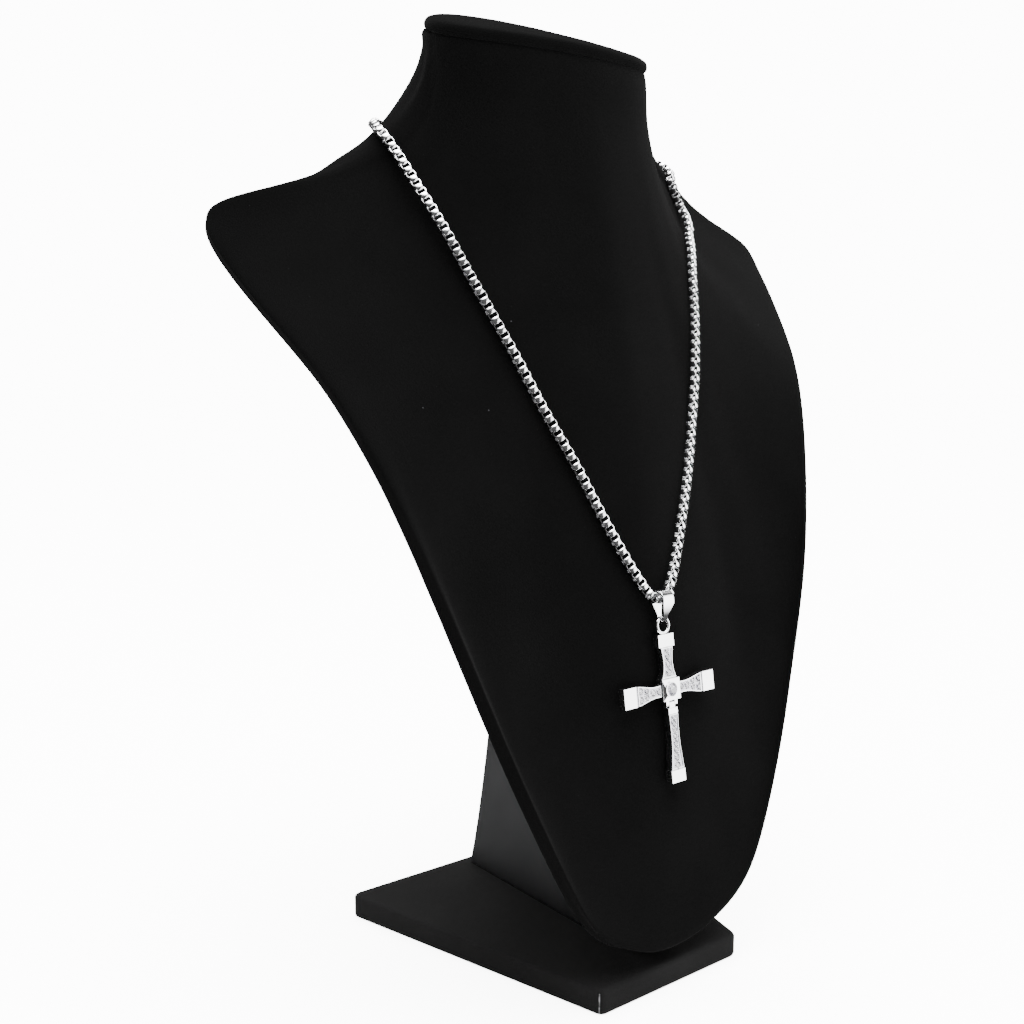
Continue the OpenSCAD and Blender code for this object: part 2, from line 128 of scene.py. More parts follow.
velvet = short_velvet("short_black_velvet", VELVET_BLACK, VELVET_BRUSHED, CLEAN_SHEEN)
# The base's velvet is lighter: partly dust and lint, partly painted light for the sheen of its top
# and front
dust_and_light_velvet = short_velvet("dusty_painted_light_velvet", DUST_AND_LIGHT_BLACK, DUST_AND_LIGHT_BRUSHED, DUSTY_SHEEN)


def new_piece(name, form, materials, body, sharp_degrees=35):
    """Makes an object of a bmesh, smooth but for its sharp edges, that rides on a body."""
    mesh = bpy.data.meshes.new(name)
    form.to_mesh(mesh)
    form.free()
    mesh.shade_smooth()
    mesh.set_sharp_from_angle(angle=math.radians(sharp_degrees))
    for material in materials:
        mesh.materials.append(material)
    piece = bpy.data.objects.new(name, mesh)
    bpy.context.collection.objects.link(piece)
    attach(piece, body)
    return piece


def node_form(node, flat_degrees=1.0):
    """A merged copy of a CAD node's mesh, with its flat faces whole again."""
    form = bmesh.new()
    form.from_mesh(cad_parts[node].data)
    bmesh.ops.remove_doubles(form, verts=form.verts, dist=TOUCHING)
    bmesh.ops.dissolve_limit(form, angle_limit=math.radians(flat_degrees),
                             verts=form.verts, edges=form.edges)
    return form


def soften(form, width, sharp_degrees=30, segments=2, longer_than=0.0):
    """Rounds a form's sharp edges, or only its long ones."""
    edges = [e for e in form.edges
             if len(e.link_faces) == 2 and e.calc_length() > longer_than
             and e.calc_face_angle() > math.radians(sharp_degrees)]
    bmesh.ops.bevel(form, geom=edges, offset=width, offset_type="OFFSET", affect="EDGES",
                    segments=segments, profile=0.5, material=-1, clamp_overlap=True)


board = node_form("base")
soften(board, WRAP_ROUND, segments=3)
base_board = new_piece("base_board", board, [dust_and_light_velvet], "stand")
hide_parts("base")

# The pale strip at each front corner is a painted highlight where the velvet turns the corner
CORNER_HIGHLIGHT_PALE = "#5c5c5e"
CORNER_HIGHLIGHT_WIDTH = 0.4 * MM
CORNER_HIGHLIGHT_HEIGHT = 6.56 * MM
CORNER_HIGHLIGHT_MIDDLE = 3.936 * MM
HIGHLIGHT_MOTTLE = 1.5 * MM
# A front corner's point lies furthest outward and forward, and forward counts for less
FORWARD_COUNTS = 0.7


def painted_corner_highlight():
    """A painted highlight down the velvet's fold at a front corner: a pale, mottled line."""
    material, tree = empty_material("painted_highlight_corner_velvet")
    place = add(tree, "ShaderNodeTexCoord").outputs["Object"]
    mottle = add(tree, "ShaderNodeTexNoise", {"Scale": 1 / HIGHLIGHT_MOTTLE, "Detail": 2},
               {"Vector": place})
    tone = add(tree, "ShaderNodeValToRGB", links={"Fac": mottle.outputs["Fac"]})
    tone.color_ramp.elements[0].color = linear(VELVET_BRUSHED)
    tone.color_ramp.elements[0].position = 0.35
    tone.color_ramp.elements[1].color = linear(CORNER_HIGHLIGHT_PALE)
    tone.color_ramp.elements[1].position = 0.6
    surface = add(tree, "ShaderNodeBsdfPrincipled", {"Roughness": 0.9},
                  {"Base Color": tone.outputs["Color"]})
    add(tree, "ShaderNodeOutputMaterial", links={"Surface": surface.outputs[0]})
    return material


# Painted highlight: a thin pale strip stood at each front corner of the board
highlight_strips = bmesh.new()
for side in (-1, 1):
    corner = max((vert.co for vert in base_board.data.vertices),
                 key=lambda c: side * c.x - FORWARD_COUNTS * c.y)
    edge = bmesh.ops.create_cube(highlight_strips, size=1.0)["verts"]
    bmesh.ops.scale(highlight_strips, vec=(CORNER_HIGHLIGHT_WIDTH, CORNER_HIGHLIGHT_WIDTH, CORNER_HIGHLIGHT_HEIGHT), verts=edge)
    bmesh.ops.rotate(highlight_strips, matrix=Matrix.Rotation(math.radians(45), 3, "Z"), verts=edge)
    bmesh.ops.translate(highlight_strips, vec=(corner.x, corner.y, CORNER_HIGHLIGHT_MIDDLE), verts=edge)
new_piece("corner_highlight_strips", highlight_strips, [painted_corner_highlight()], "stand")


# Back post: a strip of board stood on edge and covered with smooth dark grey paper, which shows
# its fine grain. It is glued to the base and to the back of the bust.
PAPER_GREY = "#222223"
PAPER_WORN = "#29292a"
PAPER_GRAIN = 0.35 * MM
PAPER_CLOUD = 18 * MM
PAPER_ROUND = 0.7 * MM


def covering_paper():
    """Bookbinder's paper, calendered: a satin dark grey with a fine grain and faint clouds."""
    material, tree = empty_material("calendered_grey_paper")
    place = add(tree, "ShaderNodeTexCoord").outputs["Object"]
    cloud = add(tree, "ShaderNodeTexNoise", {"Scale": 1 / PAPER_CLOUD, "Detail": 4},
                {"Vector": place})
    grain = add(tree, "ShaderNodeTexNoise", {"Scale": 1 / PAPER_GRAIN, "Detail": 2},
                {"Vector": place})
    tone = add(tree, "ShaderNodeValToRGB", links={"Fac": cloud.outputs["Fac"]})
    tone.color_ramp.elements[0].color = linear(PAPER_GREY)
    tone.color_ramp.elements[1].color = linear(PAPER_WORN)
    relief = add(tree, "ShaderNodeBump", {"Strength": 0.35, "Distance": 0.05 * MM},
                 {"Height": grain.outputs["Fac"]})
    surface = add(tree, "ShaderNodeBsdfPrincipled", {"Roughness": 0.7, "Specular IOR Level": 0.15},
                  {"Base Color": tone.outputs["Color"], "Normal": relief.outputs["Normal"]})
    add(tree, "ShaderNodeOutputMaterial", links={"Surface": surface.outputs[0]})
    return material


strip = node_form("post")
soften(strip, PAPER_ROUND, sharp_degrees=40)
back_post = new_piece("back_post", strip, [covering_paper()], "stand")
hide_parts("post")


# Bust: a moulded plastic form of chest, shoulders and neck, open at the back, with velvet glued
# over its face and turned in round its rim. Inside, the bare moulding shows. A velvet-covered lid
# closes the neck.
PLASTIC_BLACK = "#1b1b1c"
MOULD_GRAIN = 1.2 * MM
SMOOTHING_LEVELS = 2
FITTING_ROUNDS = 3
TURNED_IN = 2
NECK_FOOT = 235 * MM
# The middle of the hollow beside a point of the wall: its y and how far below the point it lies,
# and how far out to the side it lies as a part of the point's own distance
HOLLOW_OF_NECK = (25 * MM, 25 * MM)
HOLLOW_OF_CHEST = (60 * MM, 10 * MM)
HOLLOW_SIDEWAYS = 0.7
LID_ROUND = 0.7 * MM


def moulded_plastic():
    """High-impact polystyrene, vacuum formed: matt black with the mould's soft grain."""
    material, tree = empty_material("vacuum_formed_polystyrene")
    place = add(tree, "ShaderNodeTexCoord").outputs["Object"]
    grain = add(tree, "ShaderNodeTexNoise", {"Scale": 1 / MOULD_GRAIN, "Detail": 3},
                {"Vector": place})
    relief = add(tree, "ShaderNodeBump", {"Strength": 0.4, "Distance": 0.1 * MM},
                 {"Height": grain.outputs["Fac"]})
    surface = add(tree, "ShaderNodeBsdfPrincipled",
                  {"Base Color": linear(PLASTIC_BLACK), "Roughness": 0.55, "IOR": 1.59},
                  {"Normal": relief.outputs["Normal"]})
    add(tree, "ShaderNodeOutputMaterial", links={"Surface": surface.outputs[0]})
    return material


def faces_hollow(face):
    """Whether a face of the shell looks into the hollow, whose middle runs below the shoulders
    and up the neck."""
    at = face.calc_center_median()
    y, below = HOLLOW_OF_NECK if at.z > NECK_FOOT else HOLLOW_OF_CHEST
    middle = Vector((HOLLOW_SIDEWAYS * at.x, y, at.z - below))
    return face.normal.dot(at - middle) < 0


shell = bmesh.new()
shell.from_mesh(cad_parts["bust_shell"].data)
bmesh.ops.remove_doubles(shell, verts=shell.verts, dist=TOUCHING)
bmesh.ops.join_triangles(shell, faces=shell.faces, angle_face_threshold=math.radians(40),
                         angle_shape_threshold=math.radians(60))
bare = {face for face in shell.faces if faces_hollow(face)}
for _ in range(TURNED_IN):
    bare = {face for face in bare
            if all(f in bare for vert in face.verts for f in vert.link_faces)}
for face in shell.faces:
    face.material_index = 1 if face in bare else 0
bust = new_piece("velvet_bust", shell, [velvet, moulded_plastic()], "stand",
                 sharp_degrees=180)
rounding = bust.modifiers.new("rounding", "SUBSURF")
rounding.levels = rounding.render_levels = SMOOTHING_LEVELS
# The rounding draws the form in, so its points are moved out until it passes through the moulding
moulded = [vert.co.copy() for vert in bust.data.vertices]
for _ in range(FITTING_ROUNDS):
    rounded = bust.evaluated_get(bpy.context.evaluated_depsgraph_get()).to_mesh()
    drawn_in = [rounded.vertices[vert.index].co.copy() for vert in bust.data.vertices]
    for vert, place, now in zip(bust.data.vertices, moulded, drawn_in):
        vert.co += place - now
    bust.data.update()
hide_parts("bust_shell")

lid = node_form("neck_cap", flat_degrees=0.2)
soften(lid, LID_ROUND, sharp_degrees=20, segments=3)
cap = new_piece("neck_lid", lid, [velvet], "stand", sharp_degrees=80)
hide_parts("neck_cap")


# Chain: a box chain of square links, each bent from flat steel strip, every second one turned a
# quarter so that faces and windows alternate. It lies on the velvet and hangs in the bail.
STEEL = "#e9e9ea"
CHAIN_SMUDGE = 4 * MM
CHAIN_ROUGHNESS = (0.12, 0.28)
LINK_WIDTH = 3.05 * MM
LINK_LENGTH = 2.42 * MM
STRIP_WIDTH = 2.1 * MM
STRIP_THICKNESS = 0.32 * MM
STRIP_EDGE = 0.056 * MM
LINK_CORNER = 0.8 * MM
LINK_PITCH = 1.7 * MM
CORNER_STEPS = 3
# Height of the chain's middle over the velvet where it lies, and where it begins to hang free
CHAIN_REST = 1.5 * MM
CHAIN_FREE = 2.9 * MM
SETTLES_OVER = 0.6 * MM
SETTLES_OVER_LINKS = 5
CURVE_STEPS = 40
# Turn of the two strands on the chest, in degrees, which fades out behind the shoulders
ROLL_NEAR = 12
ROLL_FAR = -5
ROLL_ENDS = 10 * MM
ROLL_FADES_OVER = 20 * MM
# Routes of the two strands from the bail up to the neck, and of half the back, in millimetres.
# All are written on the +X side: the near strand and the back's other half are mirrored.
ROUTE_NEAR = [
    (2.8, -45.8, 128.1), (5.9, -43.1, 132.4), (11, -41, 141), (18.3, -36.8, 156),
    (24.9, -32.1, 171.4), (31.7, -27.1, 186), (38.3, -22.4, 201), (44.6, -17.3, 215.5),
    (50.5, -11.4, 230.1), (55.5, -3.8, 244.8), (59.1, 7.1, 259.8), (61.6, 13.4, 269.1),
    (63.4, 16.3, 273.4), (63, 20.3, 275.8)
]
ROUTE_FAR = [
    (2.8, -45.8, 128.1), (6.7, -43.3, 131.8), (11.3, -41.3, 139.7), (19.1, -36.8, 155.2),
    (25.4, -32.8, 167.9), (31.2, -28.5, 180.9), (36.8, -24.1, 195), (40.5, -20.6, 207),
    (44.2, -16.6, 218.6), (48.1, -11.5, 232.4), (53, -5.4, 243.2), (59.5, 2.4, 250.8),
    (62.8, 9.2, 259.2), (61.2, 13.2, 268.8), (63.2, 16.3, 273.3), (63, 20.4, 275.8)
]
ROUTE_BACK = [
    (61.5, 24.2, 277.3), (59.7, 28, 278.4), (54.6, 34.1, 279.8), (49.6, 39.2, 280.2),
    (44, 43.8, 280.5), (31.1, 50.2, 280.8), (23.5, 52.6, 280.9), (15.9, 53.6, 281.1)
]
CHAIN_LOW = (0, -46, 127.8)
NAPE = (0, 54.1, 281.3)


def polished_steel(name, smudge, roughness):
    """Stainless steel, tumbled bright: a near mirror with faint smudges."""
    material, tree = empty_material(name)
    place = add(tree, "ShaderNodeTexCoord").outputs["Object"]
    smudges = add(tree, "ShaderNodeTexNoise", {"Scale": 1 / smudge, "Detail": 3},
                  {"Vector": place})
    gloss = add(tree, "ShaderNodeMapRange", {"To Min": roughness[0], "To Max": roughness[1]},
                {"Value": smudges.outputs["Fac"]})
    surface = add(tree, "ShaderNodeBsdfPrincipled",
                  {"Base Color": linear(STEEL), "Metallic": 1},
                  {"Roughness": gloss.outputs["Result"]})
    add(tree, "ShaderNodeOutputMaterial", links={"Surface": surface.outputs[0]})
    return material


def mirrored(point):
    """The same point on the other side of the bust."""
    return (-point[0], point[1], point[2])


def curve_point(a, b, c, d, t):
    """The point at part t of the smooth curve from b to c, where a comes before and d after."""
    return 0.5 * (2 * b + (c - a) * t + (2 * a - 5 * b + 4 * c - d) * t * t
                  + (3 * b - a - 3 * c + d) * t ** 3)


def smooth_loop(points, step):
    """Points at equal steps along a smooth closed curve through the given points."""
    count = len(points)
    fine = []
    for i in range(count):
        a, b, c, d = (points[(i + k - 1) % count] for k in range(4))
        fine += [curve_point(a, b, c, d, j / CURVE_STEPS) for j in range(CURVE_STEPS)]
    lengths = [(fine[(i + 1) % len(fine)] - fine[i]).length for i in range(len(fine))]
    total = sum(lengths)
    number = 2 * round(total / step / 2)
    placed = []
    at, i = 0.0, 0
    for k in range(number):
        goal = total * k / number
        while at + lengths[i] < goal:
            at += lengths[i]
            i += 1
        placed.append(fine[i].lerp(fine[(i + 1) % len(fine)], (goal - at) / lengths[i]))
    return placed


def link_form():
    """One link about the origin, a strip bent round four corners and welded shut: its opening
    faces X and the chain runs along Z."""
    half_width = LINK_WIDTH / 2 - STRIP_THICKNESS / 2
    half_length = LINK_LENGTH / 2 - STRIP_THICKNESS / 2
    corner = LINK_CORNER - STRIP_THICKNESS / 2
    path = []
    for quarter, (side, end) in enumerate(((1, 1), (-1, 1), (-1, -1), (1, -1))):
        for k in range(CORNER_STEPS + 1):
            angle = math.radians(90 * quarter + 90 * k / CORNER_STEPS)
            path.append((side * (half_width - corner) + corner * math.cos(angle),
                         end * (half_length - corner) + corner * math.sin(angle)))
    w, t = STRIP_WIDTH / 2, STRIP_THICKNESS / 2
    section = [(-w, -t + STRIP_EDGE), (-w, t - STRIP_EDGE), (-w + STRIP_EDGE, t),
               (w - STRIP_EDGE, t), (w, t - STRIP_EDGE), (w, -t + STRIP_EDGE)]
    form = bmesh.new()
    rings = []
    for k, (y, z) in enumerate(path):
        ahead, behind = path[(k + 1) % len(path)], path[k - 1]
        along = Vector((0, ahead[0] - behind[0], ahead[1] - behind[1])).normalized()
        out = Vector((0, along.z, -along.y))
        rings.append([form.verts.new(Vector((x, y, z)) + out * r) for x, r in section])
    for k, ring in enumerate(rings):
        following = rings[(k + 1) % len(rings)]
        for j in range(len(section)):
            form.faces.new((ring[j], ring[j - 1], following[j - 1], following[j]))
    bmesh.ops.recalc_face_normals(form, faces=form.faces)
    return form


loop = [CHAIN_LOW] + ROUTE_FAR + ROUTE_BACK + [NAPE]
loop += [mirrored(p) for p in reversed(ROUTE_BACK)] + [mirrored(p) for p in reversed(ROUTE_NEAR)]
places = smooth_loop([Vector(p) * MM for p in loop], LINK_PITCH)
velvet_tree = BVHTree.FromObject(bust, bpy.context.evaluated_depsgraph_get())
nearest = [velvet_tree.find_nearest(p) for p in places]
normals = [n for _, n, _, _ in nearest]
# Where the route runs close to the velvet, the chain is set down to lie on it
links = []
for k, place in enumerate(places):
    around = range(k - SETTLES_OVER_LINKS, k + SETTLES_OVER_LINKS + 1)
    normal = sum((normals[j % len(places)] for j in around), Vector()).normalized()
    lift = (place - nearest[k][0]).dot(normal)
    settle = max(0.0, min(1.0, (CHAIN_FREE - lift) / SETTLES_OVER))
    links.append((place + normal * (CHAIN_REST - lift) * settle, normal))

chain = bmesh.new()
one_link = link_form()
link_mesh = bpy.data.meshes.new("one_link")
one_link.to_mesh(link_mesh)
one_link.free()
# Each link runs along the chain and faces out from the velvet, every second one turned a quarter
for k, (place, normal) in enumerate(links):
    ahead, behind = links[(k + 1) % len(links)][0], links[k - 1][0]
    along = (ahead - behind).normalized()
    front = max(0.0, min(1.0, (ROLL_ENDS - place.y) / ROLL_FADES_OVER))
    roll = math.radians(front * (ROLL_FAR if place.x > 0 else ROLL_NEAR))
    out = (normal - along * normal.dot(along)).normalized()
    out = Matrix.Rotation(-roll, 3, "Z") @ out
    out = (out - along * out.dot(along)).normalized()
    across = along.cross(out)
    sides = (across, out) if k % 2 else (out, across)
    turn = Matrix((sides[0], sides[1], along)).transposed()
    if turn.determinant() < 0:
        turn = Matrix((sides[0], -sides[1], along)).transposed()
    before = len(chain.verts)
    chain.from_mesh(link_mesh)
    chain.verts.ensure_lookup_table()
    bmesh.ops.transform(chain, matrix=Matrix.Translation(place) @ turn.to_4x4(),
                        verts=chain.verts[before:])
chain_steel = polished_steel("tumbled_chain_steel", CHAIN_SMUDGE, CHAIN_ROUGHNESS)
box_chain = new_piece("box_chain", chain, [chain_steel], "stand",
                      sharp_degrees=50)
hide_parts("chain")


# Clasp: a plain steel barrel that closes over the chain's ends at the nape, turned on a lathe
# with a bead at each end.
BARREL_BEAD = 0.25 * MM
barrel = node_form("clasp", flat_degrees=0.2)
soften(barrel, BARREL_BEAD, sharp_degrees=60, segments=3)
clasp = new_piece("barrel_clasp", barrel, [chain_steel], "stand")
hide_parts("clasp")


# Bail: one strip of steel, folded round the chain and closed on the cross's ring, with its edges
# filed and the whole polished.
FILED_EDGE = 0.12 * MM
PENDANT_SMUDGE = 3 * MM
PENDANT_ROUGHNESS = (0.08, 0.2)
# Less than one step of a square edge's rounding, so that the flat faces beside it stay flat
PLAIN_FACES = 20
silver = polished_steel("polished_pendant_steel", PENDANT_SMUDGE, PENDANT_ROUGHNESS)
fold = node_form("bail", flat_degrees=0.5)
soften(fold, FILED_EDGE, sharp_degrees=40)
bail = new_piece("folded_bail", fold, [silver], "bail",
                 sharp_degrees=PLAIN_FACES)
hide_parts("bail")


# Cross: cast in one piece with its ring, cap, flared arms, plain ends and middle block, its edges
# polished round. A raised rail borders every stone-set arm, and small beads of metal, raised from
# the arm, hold the stones. Its own sizes are in millimetres, measured down from its ring.
LEAN = math.radians(8.5)
RING_AT = Vector((0, -46, 121.8)) * MM
MIDDLE = 23
BACK = 1.4
ARM_THICKNESS = 2.2
LOWER_THICKNESS = 2.6
ARM_FRONT = BACK - ARM_THICKNESS
LOWER_FRONT = BACK - LOWER_THICKNESS
RAIL_WIDTH = 0.26
RAIL_HEIGHT = 0.22
RAIL_SUNK = 0.02
RAIL_ROUND = 0.06 * MM
# Where the rails of each arm begin and end, and each arm's outline as (distance, half width), all
# measured outward from the cross's middle
UP_RAIL = (3.5, 13.6)
SIDE_RAIL = (3.9, 14.5)
LOWER_RAIL = (7.8, 25.8)
UP_ARM = [(3, 3.4), (4.4, 2.75), (6, 2.2), (8.4, 1.95), (11, 2.1), (13.7, 2.6)]
SIDE_ARM = [(3, 1.9), (5, 1.8), (7, 1.8), (9.5, 2.15), (12.2, 2.75), (14.9, 3.2)]
LOWER_ARM = [(7.7, 1.95), (10, 1.85), (14, 1.75), (18, 1.85), (22, 2.3), (25.9, 2.75)]
cross_place = (Matrix.Translation(RING_AT) @ Matrix.Rotation(-LEAN, 4, "X")
               @ Matrix.Scale(MM, 4))


def flared_side(widths, reach, steps=5):
    """Points (distance, half width) of an arm's curved side that lie within its rails' reach."""
    points = []
    top = len(widths) - 1
    for k in range(top):
        a, b, c, d = (Vector(widths[max(0, min(top, k + j))]) for j in (-1, 0, 1, 2))
        points += [curve_point(a, b, c, d, j / steps) for j in range(steps)]
    points.append(Vector(widths[-1]))
    return [p for p in points if reach[0] <= p[0] <= reach[1]]


def add_rails(form, widths, turn_degrees, front, reach):
    """Adds the raised border of one arm, its sides on the arm's own outline."""
    side = flared_side(widths, reach)
    outline = [(w, d) for d, w in side] + [(-w, d) for d, w in reversed(side)]
    turn = Matrix.Rotation(math.radians(-turn_degrees), 4, "Y")
    before = set(form.verts)
    verts = [form.verts.new((x, front + RAIL_SUNK, z)) for x, z in outline]
    field = form.faces.new(verts)
    field.normal_update()
    border = bmesh.ops.inset_individual(form, faces=[field], thickness=RAIL_WIDTH,
                                        use_even_offset=True)["faces"]
    bmesh.ops.delete(form, geom=[field], context="FACES_ONLY")
    raised = bmesh.ops.extrude_face_region(form, geom=border, use_keep_orig=True)["geom"]
    up = [v for v in raised if isinstance(v, bmesh.types.BMVert)]
    bmesh.ops.translate(form, verts=up, vec=(0, -RAIL_HEIGHT - RAIL_SUNK, 0))
    new = [v for v in form.verts if v not in before]
    bmesh.ops.transform(form, matrix=cross_place @ Matrix.Translation((0, 0, -MIDDLE)) @ turn,
                        verts=new)


CAST_EDGE = 0.16 * MM
LONG_EDGE = 0.6 * MM
BEAD_R = 0.27
BEAD_CLEAR = 0.06
# How near to the front a face is, and how far it turns forward, to count as the arm's ground
GROUND_DEPTH = 0.05
GROUND_FORWARD = 0.9
# The ground's grey is painted shade, darker than the polished steel, for its recess between rails
# and stones
GROUND_PAINTED_SHADE = "#a6a6ab"
GROUND_CUT = 0.8 * MM


def cut_and_shaded_ground():
    """The metal between the stones, left rough from raising the beads: steel in small cuts, its grey
    a painted shade for the recess between the rails.
    """
    material, tree = empty_material("bead_ground_painted_shade")
    place = add(tree, "ShaderNodeTexCoord").outputs["Object"]
    cuts = add(tree, "ShaderNodeTexNoise", {"Scale": 1 / GROUND_CUT, "Detail": 1},
               {"Vector": place})
    relief = add(tree, "ShaderNodeBump", {"Strength": 1.0, "Distance": 0.16 * MM},
                 {"Height": cuts.outputs["Fac"]})
    surface = add(tree, "ShaderNodeBsdfPrincipled",
                  {"Base Color": linear(GROUND_PAINTED_SHADE), "Metallic": 1, "Roughness": 0.3},
                  {"Normal": relief.outputs["Normal"]})
    add(tree, "ShaderNodeOutputMaterial", links={"Surface": surface.outputs[0]})
    return material


def mark_shaded_ground(form, front):
    """Gives the second material, the cut ground with its painted shade, to a casting's faces that
    the stones are set in.
    """
    form.normal_update()
    back = cross_place.inverted()
    for face in form.faces:
        at = back @ face.calc_center_median()
        facing = (back.to_3x3() @ face.normal).normalized()
        if abs(at.y - front) < GROUND_DEPTH and facing.y < -GROUND_FORWARD:
            face.material_index = 1


def set_beads(form, start, front):
    """Raises four beads round each stone whose name begins with a word."""
    back = cross_place.inverted()
    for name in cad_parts:
        if name.startswith(start):
            low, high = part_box(name)
            middle = back @ ((Vector(low) + Vector(high)) / 2)
            reach = (high[0] - low[0]) / MM / 2 + BEAD_CLEAR
            for turn in (45, 135, 225, 315):
                at = Vector((middle.x + reach * math.cos(math.radians(turn)), front,
                             middle.z + reach * math.sin(math.radians(turn))))
                bmesh.ops.create_icosphere(form, subdivisions=1, radius=BEAD_R,
                                           matrix=cross_place @ Matrix.Translation(at))


# The ground between the stones takes a grey of painted shade
ground = cut_and_shaded_ground()
body_form = node_form("cross_body", flat_degrees=0.4)
soften(body_form, CAST_EDGE, sharp_degrees=40, longer_than=LONG_EDGE)
mark_shaded_ground(body_form, ARM_FRONT)
cross_metal = new_piece("cast_cross", body_form, [silver, ground], "cross",
                        sharp_degrees=PLAIN_FACES)
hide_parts("cross_body")

rails = bmesh.new()
add_rails(rails, UP_ARM, 0, ARM_FRONT, UP_RAIL)
add_rails(rails, SIDE_ARM, 90, ARM_FRONT, SIDE_RAIL)
add_rails(rails, SIDE_ARM, -90, ARM_FRONT, SIDE_RAIL)
bmesh.ops.recalc_face_normals(rails, faces=rails.faces)
soften(rails, RAIL_ROUND, sharp_degrees=40)
new_piece("cross_rails", rails, [silver], "cross", sharp_degrees=PLAIN_FACES)
beads = bmesh.new()
for start in ("stone_up", "stone_left", "stone_right"):
    set_beads(beads, start, ARM_FRONT)
new_piece("cross_beads", beads, [silver], "cross", sharp_degrees=80)

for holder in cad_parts["hinge_pin"].material_slots:
    holder.material = silver


# Lower arm: cast like the cross, with a plain plate over its neck, and hung from the cross's lugs
# by a knuckle on a steel pin, so that it swings.
NECK_PLATE = (3.9, 0.4, 1.8)
NECK_PLATE_AT = -29.85
lower_form = node_form("lower_arm", flat_degrees=0.4)
soften(lower_form, CAST_EDGE, sharp_degrees=40, longer_than=LONG_EDGE)
mark_shaded_ground(lower_form, LOWER_FRONT)
lower_metal = new_piece("cast_lower_arm", lower_form, [silver, ground], "lower_arm",
                        sharp_degrees=PLAIN_FACES)
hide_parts("lower_arm")
lower_rail = bmesh.new()
add_rails(lower_rail, LOWER_ARM, 180, LOWER_FRONT, LOWER_RAIL)
bmesh.ops.recalc_face_normals(lower_rail, faces=lower_rail.faces)
soften(lower_rail, RAIL_ROUND, sharp_degrees=40)
plate = bmesh.ops.create_cube(lower_rail, size=1.0)["verts"]
bmesh.ops.scale(lower_rail, vec=NECK_PLATE, verts=plate)
bmesh.ops.translate(lower_rail, vec=(0, LOWER_FRONT, NECK_PLATE_AT), verts=plate)
bmesh.ops.transform(lower_rail, matrix=cross_place, verts=plate)
new_piece("lower_rails", lower_rail, [silver], "lower_arm",
          sharp_degrees=PLAIN_FACES)
beads = bmesh.new()
set_beads(beads, "stone_low", LOWER_FRONT)
new_piece("lower_beads", beads, [silver], "lower_arm", sharp_degrees=80)


# Stones: clear cubic zirconia, cut as round brilliants and set in drilled seats, with the beads
# of metal pushed over their girdles.
STONE_WHITE = "#f6f6fa"
# Grey-lilac of painted shade, mixed in patches into the clear stones' colour, for the dark
# reflections in their facets
STONE_PAINTED_SHADE = "#8d8b96"
FACET_PATCH = 1.6 * MM


def clear_zirconia():
    """Cubic zirconia, cut and polished: clear and very bright, with patches of grey and lilac
    painted shade standing in for the dark reflections in its facets.
    """
    material, tree = empty_material("cut_zirconia")
    place = add(tree, "ShaderNodeTexCoord").outputs["Object"]
    cloud = add(tree, "ShaderNodeTexNoise", {"Scale": 1 / FACET_PATCH, "Detail": 1},
                {"Vector": place})
    tone = add(tree, "ShaderNodeValToRGB", links={"Fac": cloud.outputs["Fac"]})
    tone.color_ramp.elements[0].color = linear(STONE_PAINTED_SHADE)
    tone.color_ramp.elements[0].position = 0.35
    tone.color_ramp.elements[1].color = linear(STONE_WHITE)
    tone.color_ramp.elements[1].position = 0.65
    surface = add(tree, "ShaderNodeBsdfPrincipled",
                  {"Roughness": 0.02, "IOR": 2.15, "Transmission Weight": 0.85},
                  {"Base Color": tone.outputs["Color"]})
    add(tree, "ShaderNodeOutputMaterial", links={"Surface": surface.outputs[0]})
    return material


zirconia = clear_zirconia()
for name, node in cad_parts.items():
    if name.startswith("stone_"):
        for holder in node.material_slots:
            holder.material = zirconia


# Table and light: a white light table and a white backdrop all round. A large bright window of
# light stands to the right of the camera, with more from above, and the room's left is dim.
TABLE_WHITE = "#ffffff"
TABLE_GLOW = 7.0
TABLE_RADIUS = 6
BACKDROP = 16.0
WINDOW_LIGHT = 9.0
CEILING_LIGHT = 24.0
DIM_SIDE = 0.12
WINDOW_AT = (0.69, -0.72, 0.05)
# Where each light begins and is full, as the cosine of the angle from its middle
WINDOW_EDGE = (0.79, 0.93)
CEILING_EDGE = (0.7, 0.95)


def lit_table():
    """Opal acrylic, satin, lit softly from below: plain, even and white to the camera."""
    material, tree = empty_material("opal_white_acrylic")
    to_camera = add(tree, "ShaderNodeLightPath").outputs["Is Camera Ray"]
    glow = add(tree, "ShaderNodeMath", {"operation": "MULTIPLY", 1: TABLE_GLOW}, {0: to_camera})
    surface = add(tree, "ShaderNodeBsdfPrincipled",
                  {"Base Color": linear(TABLE_WHITE), "Roughness": 0.6,
                   "Emission Color": linear(TABLE_WHITE)},
                  {"Emission Strength": glow.outputs[0]})
    add(tree, "ShaderNodeOutputMaterial", links={"Surface": surface.outputs[0]})
    return material


table = bmesh.new()
bmesh.ops.create_circle(table, cap_ends=True, radius=TABLE_RADIUS, segments=96)
table_mesh = bpy.data.meshes.new("table")
table.to_mesh(table_mesh)
table.free()
table_mesh.materials.append(lit_table())
floor = bpy.data.objects.new("table", table_mesh)
bpy.context.collection.objects.link(floor)
floor.visible_glossy = False

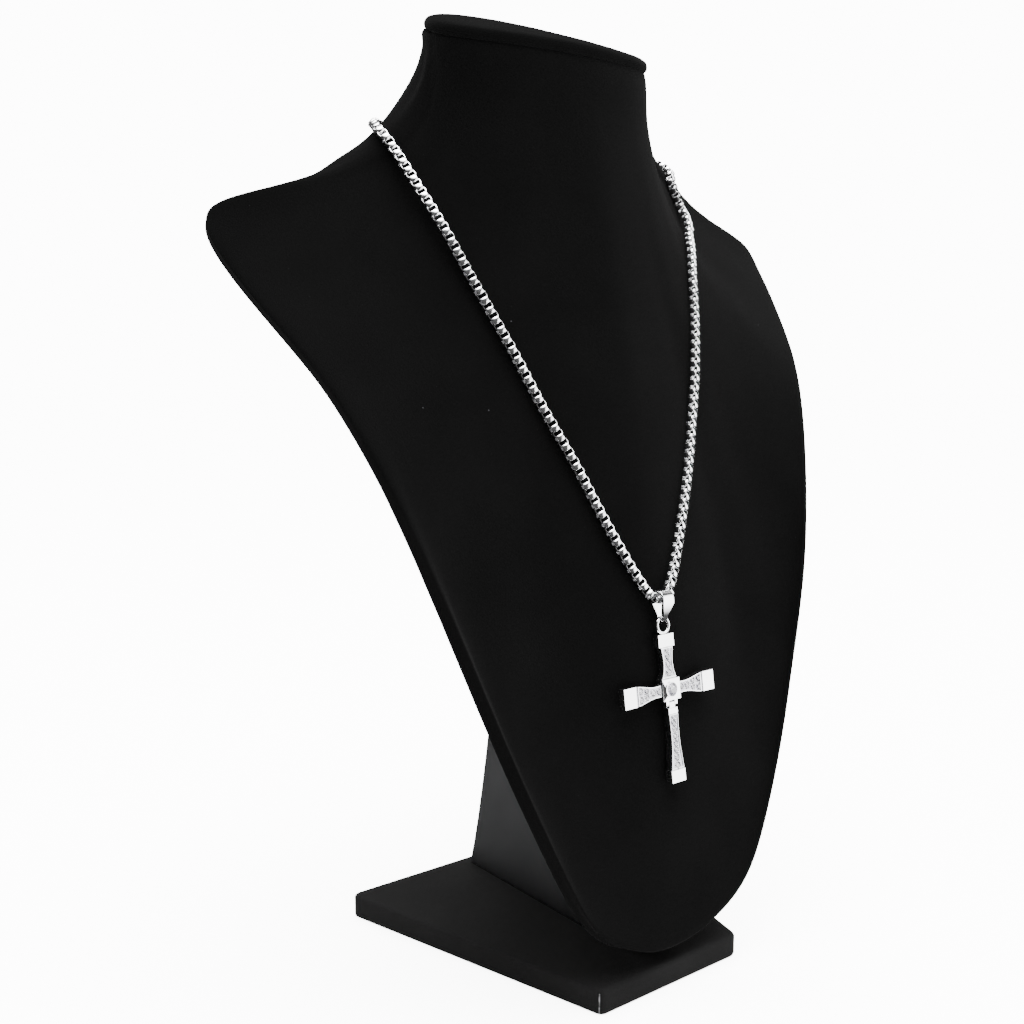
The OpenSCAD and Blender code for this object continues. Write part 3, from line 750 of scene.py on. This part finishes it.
room = bpy.data.worlds.new("white_room")
bpy.context.scene.world = room
room.use_nodes = True
studio = room.node_tree
studio.nodes.clear()
toward = add(studio, "ShaderNodeTexCoord").outputs["Generated"]
facing = add(studio, "ShaderNodeVectorMath", {"operation": "DOT_PRODUCT", 1: WINDOW_AT},
             {0: toward})
window = add(studio, "ShaderNodeMapRange",
             {"interpolation_type": "SMOOTHSTEP", "From Min": WINDOW_EDGE[0],
              "From Max": WINDOW_EDGE[1], "To Min": DIM_SIDE, "To Max": WINDOW_LIGHT},
             {"Value": facing.outputs["Value"]})
upward = add(studio, "ShaderNodeSeparateXYZ", links={0: toward})
ceiling = add(studio, "ShaderNodeMapRange",
              {"interpolation_type": "SMOOTHSTEP", "From Min": CEILING_EDGE[0],
               "From Max": CEILING_EDGE[1], "To Min": DIM_SIDE, "To Max": CEILING_LIGHT},
              {"Value": upward.outputs["Z"]})
lights = add(studio, "ShaderNodeMath", {"operation": "MAXIMUM"},
             {0: window.outputs["Result"], 1: ceiling.outputs["Result"]})
# The camera sees the even white backdrop, and the object the lights
seen = add(studio, "ShaderNodeLightPath").outputs["Is Camera Ray"]
strength = add(studio, "ShaderNodeMix", {3: BACKDROP}, {0: seen, 2: lights.outputs[0]})
glow = add(studio, "ShaderNodeBackground", links={"Strength": strength.outputs[0]})
add(studio, "ShaderNodeOutputWorld", links={"Surface": glow.outputs[0]})


def soft_box(name, place, aim, size, watts):
    """A square soft box that looks at a point."""
    light = bpy.data.lights.new(name, "AREA")
    light.energy = watts
    light.shape = "SQUARE"
    light.size = size
    lamp = bpy.data.objects.new(name, light)
    lamp.location = place
    lamp.rotation_mode = "QUATERNION"
    lamp.rotation_quaternion = (Vector(aim) - Vector(place)).to_track_quat("-Z", "Y")
    bpy.context.collection.objects.link(lamp)


soft_box("top_box", place=(0.2, -0.1, 1.5), aim=(0, 0, 0.15), size=1.0, watts=12)


# Camera: where the photograph was taken from, a little above the cross and to the wearer's right,
# and turned down so that both the neck and the base are in the picture.
CAMERA_AT = Vector((-263.4, -307.5, 205.5)) * MM
CAMERA_AZIMUTH = math.radians(-37.8)
CAMERA_DOWN = math.radians(7.7)
CAMERA_LENS = 41.41
CAMERA_SENSOR = 36

lens = bpy.data.cameras.new("camera")
lens.lens = CAMERA_LENS
lens.sensor_width = CAMERA_SENSOR
lens.clip_start = 0.01
camera = bpy.data.objects.new("camera", lens)
camera.location = CAMERA_AT
camera.rotation_mode = "QUATERNION"
camera.rotation_quaternion = Vector((
    -math.sin(CAMERA_AZIMUTH) * math.cos(CAMERA_DOWN),
    math.cos(CAMERA_AZIMUTH) * math.cos(CAMERA_DOWN),
    -math.sin(CAMERA_DOWN))).to_track_quat("-Z", "Y")
bpy.context.collection.objects.link(camera)
bpy.context.scene.camera = camera
